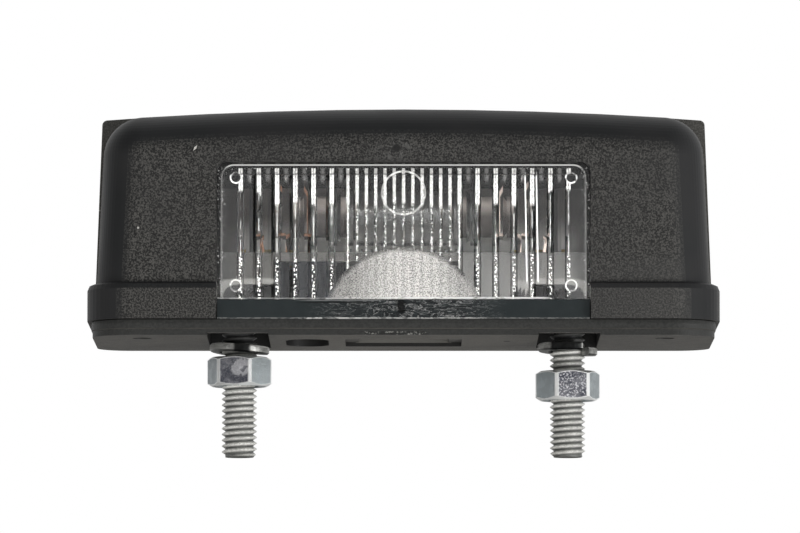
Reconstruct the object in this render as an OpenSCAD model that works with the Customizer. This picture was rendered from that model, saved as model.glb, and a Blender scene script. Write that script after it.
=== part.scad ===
// Number plate lamp for bolting on a bracket: textured hood, base with two studs, fluted lens,
// tubular bulb between spring contacts. The lens faces -Y and the studs point down.
// The origin is on the underside, midway between the studs.

/* [Base] */
// Width of the base across its rim
base_w = 105.8; // [100:0.2:120]
// Depth of the base, front to back
base_d = 38; // [36:0.5:50]
// Corner radius of the base at its front, seen from below
base_front_r = 7.5; // [4:0.5:10]
// Corner radius of the base at its back
base_back_r = 6; // [3:0.5:8]
// Thickness of the base plate
base_t = 2.6; // [2.2:0.1:4]
// How far the rim bulges past the flat underside
rim_bulge = 0.2; // [0.1:0.1:1]
// Height of the straight land at the foot of the rim
rim_land = 1; // [0.5:0.1:1.2]
// Height of the strip that stands up under the lens
strip_h = 3.4; // [2:0.1:5]
// Thickness of that strip
strip_t = 2.4; // [1.6:0.1:3]
// How far the strip stands back from the rim
strip_back = 0.4; // [0.2:0.1:1]
// Height of the spigot that plugs into the hood
spigot_h = 3; // [2:0.1:4]
// Thickness of the spigot's wall
spigot_t = 1.4; // [1:0.1:2]

/* [Stud seats] */
// Distance between the two studs
stud_spacing = 56; // [54:0.5:60]
// Width of the channel under each stud
channel_w = 10.4; // [10.4:0.1:12]
// Depth of the channel into the underside
channel_h = 2.8; // [2:0.1:3.4]
// Thickness of the roof over the channel, which the stud's head sits on
channel_roof = 2.6; // [2:0.1:4]
// Where the channel ends behind the stud
channel_back_y = 11.7; // [8:0.1:13]
// Wall left between the channel and the front of the rim
channel_front_wall = 2; // [1.5:0.1:4]
// Height of the relief cut in the rim in front of the channel
rim_relief_h = 0.4; // [0.2:0.1:0.5]
// Wall beside the channel
channel_side = 2; // [1.4:0.1:3]
// Height of the ribs that stop the stud's head turning
cradle_h = 3; // [2:0.1:3.8]
// Thickness of those ribs
cradle_t = 1.5; // [1:0.1:2]
// Play round the stud in the base
stud_hole_play = 0.25; // [0.1:0.05:0.4]

/* [Underside] */
// Place of the cable slot, left of the middle
slot_x = -16.4; // [-17.5:0.1:-15.5]
// Width of the cable slot
slot_w = 7.3; // [6:0.1:8]
// Length of the cable slot, front to back
slot_l = 17; // [12:0.5:18]
// Wall of the chimney round the cable slot
chimney_t = 2.3; // [1.2:0.1:2.4]
// Width of the shallow pocket in the middle of the underside
pocket_w = 19.8; // [14:0.2:20]
// Length of that pocket, front to back
pocket_l = 16.5; // [10:0.5:20]
// Depth of that pocket
pocket_h = 1.4; // [0.6:0.1:1.6]
// Width of the step along each short side of the pocket
pocket_step = 2.2; // [1:0.1:4]
// Radius of the drain hole
drain_r = 0.6; // [0.4:0.1:1]
// Place of the drain hole, right of the middle
drain_x = 17.6; // [14:0.2:18]
// Place of the drain hole, in front of the middle
drain_y = -3.8; // [-8:0.2:6]

/* [Hood] */
// How far the hood's skirt stands out past the base rim
skirt_over = 0.7; // [0.3:0.1:1.5]
// Height of the skirt
skirt_h = 6.25; // [4.5:0.05:8]
// Size of the rounded edge on top of the skirt
skirt_round = 1.1; // [0.4:0.1:1.6]
// Step from the skirt in to the cowl
cowl_step = 1.3; // [1.2:0.1:2.5]
// Height of the cowl at the middle of its front
cowl_h = 38.9; // [37.5:0.1:46]
// Rise of the cowl's top towards its back
cowl_rise = 1.6; // [0:0.1:3]
// Drop of the cowl's top from its middle to its corners
crown = 1.85; // [0.5:0.05:3]
// Radius of the cowl's rounded edges
cowl_r = 7; // [5:0.25:8]
// How far each side leans in over the cowl's height
side_lean = 1.4; // [0.5:0.1:3]
// Wall thickness of the hood
hood_wall = 2; // [1.5:0.1:2.6]
// Thickness of the flange behind the cowl
flange_t = 3.6; // [2.5:0.1:5]
// How far the flange stands out round the cowl
flange_over = 1.15; // [0.4:0.05:1.5]
// Corner radius of the flange, seen from the front
flange_r = 0.9; // [0.4:0.1:2]

/* [Window and lens] */
// Width of the window in the hood
window_w = 63.2; // [58:0.2:66]
// Height of the window's top edge above the underside
window_top = 29.4; // [27:0.1:30]
// Radius of the window's top corners
window_r = 2; // [1:0.1:4]
// How far the lens stands back from the cowl's face
lens_back = 0.4; // [0.2:0.1:0.8]
// Thickness of the lens plate
lens_t = 1.8; // [1.4:0.1:2.2]
// Thickness of the lens's side and top walls
lens_side = 1.9; // [1.2:0.1:2.4]
// How far the lens's lip laps behind the hood
lens_lap = 1.6; // [1:0.1:1.8]
// Thickness of that lip
lip_t = 1.4; // [1:0.1:2]
// Pitch of the narrow flutes in the middle of the lens
fine_pitch = 1.57; // [1.2:0.01:1.8]
// Depth of the narrow flutes
fine_h = 0.35; // [0.15:0.05:0.5]
// Number of narrow flutes on each side of the middle
fine_n = 6; // [3:1:7]
// Pitch of the wide flutes towards the sides of the lens
wide_pitch = 3.08; // [2.4:0.02:3.2]
// Depth of the wide flutes
wide_h = 0.6; // [0.3:0.05:0.7]
// Number of wide flutes on each side
wide_n = 6; // [3:1:6]
// Radius of the plain round pad at the foot of the lens
pad_r = 14; // [10:0.5:18]
// Height of that pad above the lens's lower edge
pad_h = 8.9; // [5:0.1:9.5]
// Radius of the four small pips behind the lens
pip_r = 1.05; // [0.6:0.05:1.4]
// Distance of the pips from the lens's sides
pip_in = 3.1; // [3:0.1:3.6]
// Distance of the pips from the lens's top and bottom edges
pip_up = 2.4; // [1.6:0.1:3]
// Radius of the plain raised ring on the face of the lens
ring_r = 3.8; // [2.5:0.1:5]
// Height of that ring's middle above the lens's lower edge
ring_up = 17.95; // [14:0.05:18]
// Width of the ring's line
ring_w = 0.3; // [0.2:0.05:0.5]
// Height of the ring on the lens
ring_h = 0.2; // [0.1:0.05:0.35]
// Thickness of the seal between the lens and the hood
seal_t = 0.6; // [0.4:0.1:1]

/* [Carrier] */
// Width of the light grey carrier behind the lens
carrier_w = 66; // [62:0.5:68]
// Height of the carrier's floor above the base plate
carrier_lift = 10.5; // [9.5:0.1:12]
// Thickness of the carrier
carrier_t = 1.5; // [1.2:0.1:2]
// Radius of the bend between the carrier's floor and its back
carrier_r = 8; // [5:0.5:9]
// Depth of the carrier in front of the bulb
carrier_front = 10.5; // [9.9:0.1:11]
// Gap from the carrier's back to the hood's back wall
carrier_gap = 3; // [2:0.5:5]
// Height of the carrier's back above its floor
carrier_wall_h = 13; // [10:0.5:18]
// Width of the arch over each stud's head
arch_w = 7.5; // [4:0.5:7.5]
// How far the arches stand in from the studs
arch_in = 4.2; // [3.9:0.1:5.5]
// Distance from the right apron's inner end to the middle
apron_in = 10.4; // [10:0.1:16]
// Distance from the two carrier screws to the middle
carrier_screw_x = 6.4; // [5:0.1:6.6]
// Radius of the posts under the carrier screws
post_r = 3.4; // [2.8:0.1:3.6]

/* [Bulb and contacts] */
// Length of the bulb over its tips
bulb_l = 38; // [34:0.5:40]
// Radius of the bulb's glass
glass_r = 4.9; // [3.5:0.1:5.5]
// Radius of the bulb's caps
cap_r = 3.5; // [3:0.1:3.8]
// Length of a cap without its cone
cap_l = 5; // [4:0.1:6]
// Length of a cap's cone
cone_l = 2; // [1.5:0.1:3]
// Radius at the tip of the cone
tip_r = 1; // [0.6:0.1:1.4]
// Wall of the glass and of the caps
glass_wall = 0.4; // [0.3:0.05:0.5]
// Height of the bulb's axis above the carrier's floor
bulb_lift = 6.9; // [6.6:0.1:9]
// Radius of the filament's coil
coil_r = 0.45; // [0.3:0.05:0.8]
// Length of the filament's coil
coil_l = 8; // [4:0.5:12]
// Width of the contact springs
spring_w = 7; // [5:0.2:8]
// Thickness of the contact springs
spring_t = 0.5; // [0.3:0.05:0.7]
// Radius of the hole that a cap's cone sits in
tip_hole_r = 2.4; // [1.8:0.1:2.7]
// Height of a contact spring above the bulb's axis
spring_up = 6.5; // [4.5:0.1:8]
// Distance from a cap's seat out to the spring's riser
spring_out = 4; // [3:0.1:5]
// Length of the spring's foot
foot_l = 6.4; // [6:0.1:7]
// Height of the spring's lower bend above its foot
bend_h = 2.4; // [1.8:0.1:3]
// Radius of the rivet through the foot
rivet_r = 1.25; // [0.8:0.05:1.5]
// Radius of the rivet's heads
rivet_head_r = 2.1; // [1.8:0.05:2.3]
// Height of the rivet's heads
rivet_head_h = 0.7; // [0.4:0.1:1]

/* [Fasteners] */
// Radius of the studs
stud_r = 3; // [2.5:0.5:3]
// Length of the studs under their heads
stud_l = 25; // [20:0.5:40]
// Width across flats of the heads and nuts
hex_af = 9.8; // [8:0.1:10]
// Width across their turned-off corners
hex_corners = 11.05; // [9:0.05:11.3]
// Height of the studs' heads
head_h = 4; // [3:0.1:4.4]
// Height of the nuts
nut_h = 5; // [4:0.1:6]
// Gap from the underside down to the left nut
nut_left_drop = 2.5; // [2.5:0.1:6]
// Gap from the underside down to the right nut
nut_right_drop = 4.9; // [2.6:0.1:8]
// How far the left nut is turned
nut_left_turn = 50; // [0:1:60]
// How far the right nut is turned
nut_right_turn = 9; // [0:1:60]
// Play between a nut and its stud
nut_play = 0.03; // [0.01:0.01:0.1]
// Outer radius of the spring washers
washer_r = 5.1; // [4.5:0.05:5.1]
// Thickness of the spring washers
washer_t = 1.3; // [1:0.1:1.6]
// Size of the broken edges of a spring washer
washer_edge = 0.25; // [0.1:0.05:0.4]
// Height of the spring washers' middle above the underside
washer_z = -1.1; // [-1.2:0.1:-0.8]
// Angle that a spring washer hangs askew on its stud
washer_tilt = 4; // [0:0.5:5]
// Play between a spring washer and its stud
washer_play = 0.15; // [0.1:0.05:0.4]
// Height that a spring washer's ends are sprung apart
washer_rise = 0.8; // [0.4:0.1:1]
// Angle of the cut in a spring washer
washer_cut = 16; // [8:1:30]
// Radius of the small screws
screw_r = 1.1; // [0.9:0.05:1.3]
// Radius of the hood screws' heads
hood_head_r = 1.5; // [1.4:0.05:2]
// Radius of the carrier screws' heads
carrier_head_r = 2.2; // [1.9:0.05:2.6]
// Height of the small screws' heads
screw_head_h = 1.3; // [1:0.1:1.5]
// Length of the small screws under their heads
screw_l = 9; // [7:0.5:11]
// Distance from the hood screws to the sides of the base
hood_screw_side = 8.6; // [8:0.1:9.3]
// Distance from the hood screws to the front of the base
hood_screw_front = 8.2; // [8:0.1:9.6]

/* [Hidden] */

// Clearance between moulded pieces that plug together
fit_gap = 0.15;
// Clearance between faces that rest on each other
seat_gap = 0.03;
// Overcut that carries a hole past a face
cut = 1;
// Thickness of a slice used as the end of a blended form
slice = 0.01;
// Segments of a round edge on a blended form
round_fn = 64;
// Segments of small rounds
fine_fn = 48;

stud_x = stud_spacing / 2;
head_z = channel_h + channel_roof;
channel_front_y = -base_d / 2 + channel_front_wall;

skirt_z = base_t + fit_gap;
skirt_top = skirt_z + skirt_h;
skirt_w = base_w + 2 * skirt_over;
skirt_d = base_d + 2 * skirt_over;
skirt_front_r = base_front_r + skirt_over;
skirt_back_r = 2;
hood_back_y = skirt_d / 2;
hood_front_y = -skirt_d / 2;

cowl_hw = skirt_w / 2 - cowl_step;
cowl_top_hw = cowl_hw - side_lean;
cowl_y = hood_front_y + cowl_step;
cowl_back_y = hood_back_y - flange_t + slice;
// How much thicker the hood's back wall is than its other walls
back_wall_more = 0.2;
cavity_back_y = hood_back_y - hood_wall - back_wall_more;
crown_steps = 4;

strip_top = base_t + strip_h;
window_bottom = strip_top + fit_gap;
lens_y = cowl_y + lens_back;
lens_hw = window_w / 2 - fit_gap;
lens_top = window_top - fit_gap;
lip_y = cowl_y + hood_wall + seal_t + 2 * seat_gap;
lip_back_y = lip_y + lip_t;
lip_hw = window_w / 2 + lens_lap;
lip_top = window_top + lens_lap;
rail_t = 1.5;
rail_lap = 1.2;
plate_back_y = lens_y + lens_t;
// How far the pad and the pips stand out past the flutes
pad_over = 0.15;
pad_t = max(fine_h, wide_h) + pad_over;

carrier_back = cavity_back_y - carrier_gap - carrier_t;
carrier_z = base_t + carrier_lift;
floor_top = carrier_z + carrier_t;
bulb_z = floor_top + bulb_lift;
arch_x = stud_x - arch_in;
chimney_hw = slot_w / 2 + chimney_t;

// The spring touches the cone where the cone is as wide as the hole
cone_x = bulb_l / 2 - cone_l;
seat_x = cone_x + cone_l * (cap_r - tip_hole_r) / (cap_r - tip_r) + 2 * seat_gap;
riser_x = seat_x + spring_out;
// Room between a rivet's head and the spring's riser
rivet_room = 0.4;
rivet_x = riser_x + spring_t / 2 + rivet_head_r + rivet_room;
// Sideways step of the spring's small bends
bend_step = 0.45;
neck_r = cap_r - glass_wall - seat_gap;
neck_l = 3;
glass_hl = cone_x - cap_l + neck_l;
// Thickness of the glass at its closed ends
glass_end_t = 1;
// Length over which the glass draws in to its neck
shoulder_l = 2;

// Radius and height of the bosses round the hood screws
boss_r = 3.4;
boss_h = 2.4;
boss_top = base_t + boss_h;
seat_side = stud_x + channel_w / 2 + channel_side;
hood_screw_x = max(base_w / 2 - hood_screw_side, seat_side + boss_r + fit_gap);
hood_screw_y = -base_d / 2 + hood_screw_front;
// How deep the hood screws' heads are sunk
sink_below = 0.4;
sink_h = screw_head_h + sink_below;
pilot_r = screw_r + seat_gap;
screw_tip_r = 0.3;
screw_slot_h = 0.6;
pillar_h = 16;
// Size of the chamfer at each end of a nut's thread
nut_lead_in = 0.45;
// Slope of the turned-off corners of a hexagon
hex_slope = 30;
// Length of the studs' turned-off ends
stud_end_l = 0.7;

// Outline with its own radius at the front corners and at the back corners, front at -Y
module plan(w, d, front_r, back_r) {
    hw = w / 2;
    hd = d / 2;
    translate([-hw, -hd + front_r]) square([w, d - front_r - back_r]);
    translate([-hw + front_r, -hd]) square([w - 2 * front_r, d / 2]);
    translate([-hw + back_r, 0]) square([w - 2 * back_r, hd]);
    for (s = [-1, 1]) {
        translate([s * (hw - front_r), -hd + front_r]) circle(r = front_r, $fn = fine_fn);
        translate([s * (hw - back_r), hd - back_r]) circle(r = back_r, $fn = fine_fn);
    }
}

// Outline of the base, drawn in or let out by an amount
module base_plan(grow) {
    plan(base_w + 2 * grow, base_d + 2 * grow, base_front_r + grow, base_back_r + grow);
}

// Outline of the skirt, drawn in by an amount
module skirt_plan(inset) {
    back_r = max(skirt_back_r - inset, 0.5);
    plan(skirt_w - 2 * inset, skirt_d - 2 * inset, skirt_front_r - inset, back_r);
}

// Long hole with round ends, front to back
module slot_outline(w, l) {
    square([w, l - w], center = true);
    for (s = [-1, 1])
        translate([0, s * (l - w) / 2]) circle(d = w, $fn = fine_fn);
}

// Places a front view drawing at a depth: its x stays, its y becomes the height
module facing(y, t) {
    translate([0, y + t, 0]) rotate([90, 0, 0]) linear_extrude(t) children();
}

// The base plate with its bulging rim, and what stands on it
module base_solid() {
    linear_extrude(rim_land) base_plan(-rim_bulge);
    hull() {
        translate([0, 0, rim_land - slice]) linear_extrude(slice) base_plan(-rim_bulge);
        translate([0, 0, base_t * 0.45]) linear_extrude(base_t * 0.3) base_plan(0);
        translate([0, 0, base_t - slice]) linear_extrude(slice) base_plan(-rim_bulge / 2);
    }
    spigot();
    strip();
    for (s = [-1, 1]) {
        translate([s * stud_x, 0, 0]) stud_seat();
        translate([s * hood_screw_x, hood_screw_y, rim_land]) cylinder(r = boss_r, h = boss_top - rim_land);
        translate([s * carrier_screw_x, 0, rim_land])
            cylinder(r = post_r, h = carrier_z - seat_gap - rim_land);
    }
    translate([slot_x, 0, rim_land])
        linear_extrude(carrier_z - seat_gap - rim_land)
            slot_outline(2 * chimney_hw, slot_l + 2 * chimney_t);
}

// Low wall round the base that plugs into the skirt
module spigot() {
    outer = hood_wall + fit_gap;
    translate([0, 0, base_t - cut / 2])
        linear_extrude(spigot_h + cut / 2)
            difference() {
                skirt_plan(outer);
                skirt_plan(outer + spigot_t);
            }
}

// Strip that fills the foot of the window, under the lens
module strip() {
    w = window_w - 2 * fit_gap;
    translate([-w / 2, -base_d / 2 + strip_back, base_t - cut / 2])
        cube([w, strip_t, strip_h + cut / 2]);
}

// Raised seat over the channel, with two ribs beside the stud's head
module stud_seat() {
    w = channel_w + 2 * channel_side;
    front_y = channel_front_y + spigot_t;
    l = channel_back_y + channel_side - front_y;
    translate([-w / 2, front_y, rim_land]) cube([w, l, head_z - rim_land]);
    for (s = [-1, 1])
        translate([s * (hex_af / 2 + fit_gap + cradle_t / 2) - cradle_t / 2, -hex_af / 2, head_z - cut / 2])
            cube([cradle_t, hex_af, cradle_h + cut / 2]);
}

module base() {
    color("#1b1c1d")
        difference() {
            base_solid();
            for (s = [-1, 1]) {
                translate([s * stud_x, 0, 0]) stud_cuts();
                translate([s * hood_screw_x, hood_screw_y, -cut]) {
                    cylinder(r = hood_head_r + fit_gap, h = sink_h + cut);
                    cylinder(r = screw_r + fit_gap, h = boss_top + 2 * cut);
                }
                translate([s * carrier_screw_x, 0, carrier_z - screw_l])
                    cylinder(r = pilot_r, h = screw_l + cut);
            }
            translate([slot_x, 0, -cut]) linear_extrude(carrier_z + 2 * cut) slot_outline(slot_w, slot_l);
            pocket();
            translate([drain_x, drain_y, -cut]) cylinder(r = drain_r, h = base_t + 2 * cut);
        }
}

// Channel under a stud seat, the stud's hole and the relief in the rim
module stud_cuts() {
    translate([-channel_w / 2, channel_front_y, -cut])
        cube([channel_w, channel_back_y - channel_front_y, channel_h + cut]);
    translate([-channel_w / 2, -base_d / 2 - cut, -cut])
        cube([channel_w, channel_front_wall + 2 * cut, rim_relief_h + cut]);
    cylinder(r = stud_r + stud_hole_play, h = head_z + cradle_h);
}

// Shallow pocket in the underside, with a step at each end
module pocket() {
    translate([-pocket_w / 2, -pocket_l / 2, -cut]) cube([pocket_w, pocket_l, pocket_h / 2 + cut]);
    translate([-pocket_w / 2 + pocket_step, -pocket_l / 2, -cut])
        cube([pocket_w - 2 * pocket_step, pocket_l, pocket_h + cut]);
}

// How far the crowned top has dropped at a distance from the middle
function crown_at(x) = crown * pow(x / cowl_top_hw, 2);

// The cowl as one blended form. An inset of the wall's thickness gives its cavity.
module cowl(inset, back_y) {
    r = cowl_r - inset;
    edge_y = cowl_y + cowl_r;
    top_x = cowl_top_hw - cowl_r;
    hull() {
        for (s = [-1, 1]) {
            translate([s * (cowl_hw - cowl_r), edge_y, skirt_z - inset])
                cylinder(r = r, h = slice, $fn = round_fn);
            translate([s * (cowl_hw - inset) - slice / 2, back_y - slice, skirt_z - inset])
                cube([slice, slice, slice]);
        }
        for (i = [-crown_steps:crown_steps]) {
            x = top_x * i / crown_steps;
            z = cowl_h - cowl_r - crown_at(x);
            translate([x, edge_y, z]) sphere(r = r, $fn = round_fn);
            translate([x, back_y, z + cowl_rise]) rotate([90, 0, 0])
                cylinder(r = r, h = slice, $fn = round_fn);
        }
    }
}

// Skirt with its rounded top edge
module skirt() {
    hull() {
        translate([0, 0, skirt_z]) linear_extrude(skirt_h - skirt_round) skirt_plan(0);
        translate([0, 0, skirt_top - skirt_round * 0.3])
            linear_extrude(slice) skirt_plan(skirt_round * 0.3);
        translate([0, 0, skirt_top - slice]) linear_extrude(slice) skirt_plan(skirt_round);
    }
}

// Square-cornered flange behind the cowl, with the same crowned top
module flange() {
    top_hw = cowl_top_hw + flange_over;
    foot_hw = cowl_hw + flange_over;
    top = cowl_h + cowl_rise + flange_over;
    arc = [for (i = [-8:8]) [top_hw * i / 8, top - crown_at(top_hw * i / 8)]];
    facing(hood_back_y - flange_t, flange_t)
        offset(r = flange_r, $fn = round_fn)
            offset(delta = -flange_r)
                polygon(concat(arc, [[foot_hw, skirt_z], [-foot_hw, skirt_z]]));
}

// Front view of the window: round at the top corners, open at the foot
module window_outline(grow, foot_z) {
    hw = window_w / 2 + grow;
    top = window_top + grow;
    r = max(window_r + grow, 0.4);
    translate([-hw, foot_z]) square([2 * hw, top - r - foot_z]);
    translate([-hw + r, foot_z]) square([2 * hw - 2 * r, top - foot_z]);
    for (s = [-1, 1])
        translate([s * (hw - r), top - r]) circle(r = r, $fn = fine_fn);
}

// Rails inside the hood that hold the lens's lip
module lens_rails() {
    side_x = lip_hw + fit_gap;
    w = rail_t + rail_lap;
    back = lip_back_y + 2 * seat_gap;
    for (s = [-1, 1]) {
        translate([s * (side_x + rail_t / 2) - rail_t / 2, cowl_y + hood_wall - cut / 2, skirt_top])
            cube([rail_t, back + rail_t - cowl_y - hood_wall + cut / 2, lip_top - skirt_top]);
        translate([s * (side_x + rail_t - w / 2) - w / 2, back, skirt_top])
            cube([w, rail_t, lip_top - skirt_top]);
    }
}

// Pillars that the hood screws bite into, each with a web to the front wall
module screw_pillars() {
    for (s = [-1, 1])
        translate([s * hood_screw_x, hood_screw_y, boss_top + seat_gap]) {
            cylinder(r = boss_r, h = pillar_h);
            translate([-spigot_t / 2, cowl_y - hood_screw_y + hood_wall / 2, skirt_top - boss_top])
                cube([spigot_t, hood_screw_y - cowl_y - hood_wall / 2, pillar_h - skirt_top + boss_top]);
        }
}

module hood() {
    color("#2a2a2a")
        difference() {
            union() {
                difference() {
                    union() {
                        cowl(0, cowl_back_y);
                        skirt();
                        flange();
                    }
                    cowl(hood_wall, cavity_back_y);
                    translate([0, 0, skirt_z - cut])
                        linear_extrude(spigot_h + cut) skirt_plan(hood_wall);
                    facing(hood_front_y - cut, skirt_d / 2 - channel_w / 2 + cut)
                        window_outline(0, skirt_z - cut);
                }
                lens_rails();
                screw_pillars();
            }
            for (s = [-1, 1])
                translate([s * hood_screw_x, hood_screw_y, boss_top - cut])
                    cylinder(r = pilot_r, h = screw_l + cut);
        }
}

// Inner edge of the flutes on one side, from the middle outwards: points along round backs
flute_steps = 5;
function flute(x0, p, h) = [for (i = [0:flute_steps - 1]) let (u = i / flute_steps)
    [x0 + p * u, plate_back_y + 4 * h * u * (1 - u)]];
fine_edge = fine_n * fine_pitch;
wide_edge = fine_edge + wide_n * wide_pitch;
flute_side = concat(
    [for (k = [0:fine_n - 1]) each flute(k * fine_pitch, fine_pitch, fine_h)],
    [for (k = [0:wide_n - 1]) each flute(fine_edge + k * wide_pitch, wide_pitch, wide_h)],
    [[wide_edge, plate_back_y]]);

// Plan of the lens plate: flat in front, fluted behind
module fluted_plan() {
    n = len(flute_side);
    right = [for (i = [n - 1:-1:1]) flute_side[i]];
    left = [for (i = [0:n - 1]) [-flute_side[i][0], flute_side[i][1]]];
    front = [[-lens_hw, plate_back_y], [-lens_hw, lens_y], [lens_hw, lens_y], [lens_hw, plate_back_y]];
    polygon(concat(front, right, left));
}

module lens() {
    color("#d9dcdc", 0.45) {
        intersection() {
            linear_extrude(lens_top + cut) fluted_plan();
            facing(lens_y - cut, lens_t + pad_t + 2 * cut) window_outline(-fit_gap, window_bottom);
        }
        // side and top walls, then the lip behind the hood
        facing(lens_y, lip_back_y - lens_y)
            difference() {
                window_outline(-fit_gap, window_bottom);
                window_outline(-fit_gap - lens_side, window_bottom - cut);
            }
        facing(lip_y, lip_t)
            difference() {
                window_outline(lens_lap, window_bottom);
                window_outline(-fit_gap - lens_side, window_bottom - cut);
            }
        lens_pad();
        facing(lens_y - ring_h, ring_h + lens_t / 2)
            translate([0, window_bottom + ring_up])
                difference() {
                    circle(r = ring_r, $fn = round_fn);
                    circle(r = ring_r - ring_w, $fn = round_fn);
                }
        for (s = [-1, 1], z = [window_bottom + pip_up, lens_top - pip_up])
            translate([s * (lens_hw - pip_in), plate_back_y - lens_t / 2, z])
                rotate([-90, 0, 0]) cylinder(r = pip_r, h = lens_t / 2 + pad_t, $fn = fine_fn);
    }
}

// Plain pad at the foot of the lens, where the flutes stop
module lens_pad() {
    centre_z = window_bottom + pad_h - pad_r;
    facing(plate_back_y - lens_t / 2, lens_t / 2 + pad_t)
        intersection() {
            translate([0, centre_z]) circle(r = pad_r, $fn = round_fn);
            translate([-pad_r, window_bottom]) square([2 * pad_r, pad_r]);
        }
}

module lens_seal() {
    foot_z = skirt_top + fit_gap;
    color("#101010")
        facing(cowl_y + hood_wall + seat_gap, seal_t)
            difference() {
                window_outline(lens_lap - fit_gap, foot_z);
                window_outline(fit_gap, foot_z - cut);
            }
}

// Section of the carrier, seen from the side: floor, round bend, upright back
module carrier_section() {
    bend_y = carrier_back - carrier_r;
    bend_z = floor_top + carrier_r;
    translate([-carrier_front, carrier_z]) square([carrier_front + bend_y, carrier_t]);
    translate([carrier_back, bend_z]) square([carrier_t, carrier_wall_h - carrier_r]);
    intersection() {
        difference() {
            translate([bend_y, bend_z]) circle(r = carrier_r + carrier_t, $fn = round_fn);
            translate([bend_y, bend_z]) circle(r = carrier_r, $fn = round_fn);
        }
        translate([bend_y, carrier_z]) square([carrier_r + carrier_t, carrier_r + carrier_t]);
    }
}

// Aprons that carry the carrier on the stud seats, each with an arch over the stud's head
module aprons() {
    foot_z = head_z + seat_gap;
    for (s = [-1, 1]) {
        inner = s < 0 ? -slot_x + chimney_hw + fit_gap : apron_in;
        facing(-carrier_front, carrier_t)
            difference() {
                translate([s < 0 ? -carrier_w / 2 : inner, foot_z])
                    square([carrier_w / 2 - inner, carrier_z - foot_z + carrier_t / 2]);
                translate([s * arch_x, foot_z]) circle(d = arch_w, $fn = fine_fn);
            }
    }
}

module bulb_carrier() {
    color("#b9b8b4")
        difference() {
            union() {
                translate([-carrier_w / 2, 0, 0])
                    rotate([90, 0, 90]) linear_extrude(carrier_w) carrier_section();
                aprons();
            }
            translate([slot_x, 0, carrier_z - cut])
                linear_extrude(carrier_t + 2 * cut) slot_outline(slot_w, slot_l);
            for (s = [-1, 1]) {
                translate([s * carrier_screw_x, 0, carrier_z - cut])
                    cylinder(r = screw_r + fit_gap, h = carrier_t + 2 * cut);
                translate([s * rivet_x, 0, carrier_z - cut]) {
                    cylinder(r = rivet_r + seat_gap, h = carrier_t + 2 * cut);
                    cylinder(r = rivet_head_r + seat_gap, h = rivet_head_h + seat_gap + cut);
                }
            }
        }
}

// Flat strip bent along a path, drawn as its straight runs and round bends
module bent_strip(path, t) {
    for (i = [0:len(path) - 2]) {
        d = path[i + 1] - path[i];
        translate(path[i]) rotate(atan2(d[1], d[0])) translate([0, -t / 2]) square([norm(d), t]);
    }
    for (i = [1:len(path) - 2])
        translate(path[i]) circle(d = t, $fn = fine_fn);
}

// Right contact spring: foot, riser, S-bend to the bulb's cone and a lead-in at the top
module contact() {
    z0 = floor_top + seat_gap + spring_t / 2;
    x0 = seat_x + spring_t / 2;
    path = [[riser_x + foot_l - 2 * bend_step, z0], [riser_x, z0], [riser_x + bend_step, z0 + bend_h],
        [riser_x - bend_step, z0 + bend_h + 2 * bend_step], [x0, bulb_z - tip_hole_r - 2 * bend_step],
        [x0, bulb_z + tip_hole_r + 2 * bend_step], [x0 + 4 * bend_step, bulb_z + spring_up]];
    color("#b06a45")
        difference() {
            facing(-spring_w / 2, spring_w) bent_strip(path, spring_t);
            translate([x0 - cut, 0, bulb_z]) rotate([0, 90, 0]) cylinder(r = tip_hole_r, h = 2 * cut);
            translate([rivet_x, 0, floor_top - cut]) cylinder(r = rivet_r + seat_gap, h = 2 * cut);
        }
}

module contact_right() {
    contact();
}

module contact_left() {
    mirror([1, 0, 0]) contact();
}

// Rivet with a low head over the spring and a flat one let into the carrier's floor
module rivet(x) {
    top = floor_top + spring_t + 2 * seat_gap;
    color("#b9a14e")
        translate([x, 0, 0]) {
            translate([0, 0, carrier_z]) cylinder(r = rivet_r, h = top - carrier_z);
            translate([0, 0, top]) cylinder(r1 = rivet_head_r, r2 = rivet_head_r * 0.7, h = rivet_head_h);
            translate([0, 0, carrier_z]) cylinder(r = rivet_head_r, h = rivet_head_h);
        }
}

module rivet_left() {
    rivet(-rivet_x);
}

module rivet_right() {
    rivet(rivet_x);
}

// Turns a profile of [distance along the bulb, radius] round the bulb's axis
module on_bulb_axis(profile) {
    translate([0, 0, bulb_z]) rotate([0, 90, 0]) rotate_extrude($fn = round_fn)
        polygon([for (p = profile) [p[1], p[0]]]);
}

module bulb_glass() {
    shoulder = glass_hl - neck_l - 4 * seat_gap;
    inner_neck = neck_r - glass_wall;
    inner = glass_r - glass_wall;
    end = glass_hl - glass_end_t;
    back = glass_wall / 2;
    right = [[shoulder - shoulder_l, glass_r], [shoulder - shoulder_l / 4, (glass_r + neck_r) / 2],
        [shoulder, neck_r], [glass_hl, neck_r], [glass_hl, 0], [end, 0], [end, inner_neck],
        [shoulder - back, inner_neck], [shoulder - shoulder_l - back, inner]];
    left = [for (i = [len(right) - 1:-1:0]) [-right[i][0], right[i][1]]];
    color("#e8eef0", 0.35) on_bulb_axis(concat(right, left));
}

// Right cap: a cup over the glass neck, closed by a cone
module bulb_cap() {
    mouth = cone_x - cap_l;
    bore = neck_r + seat_gap;
    floor_x = glass_hl + seat_gap;
    color("#c9c9c4")
        on_bulb_axis([[mouth, bore], [mouth, cap_r], [cone_x, cap_r], [bulb_l / 2, tip_r], [bulb_l / 2, 0],
            [floor_x, 0], [floor_x, bore]]);
}

module bulb_cap_right() {
    bulb_cap();
}

module bulb_cap_left() {
    mirror([1, 0, 0]) bulb_cap();
}

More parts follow.
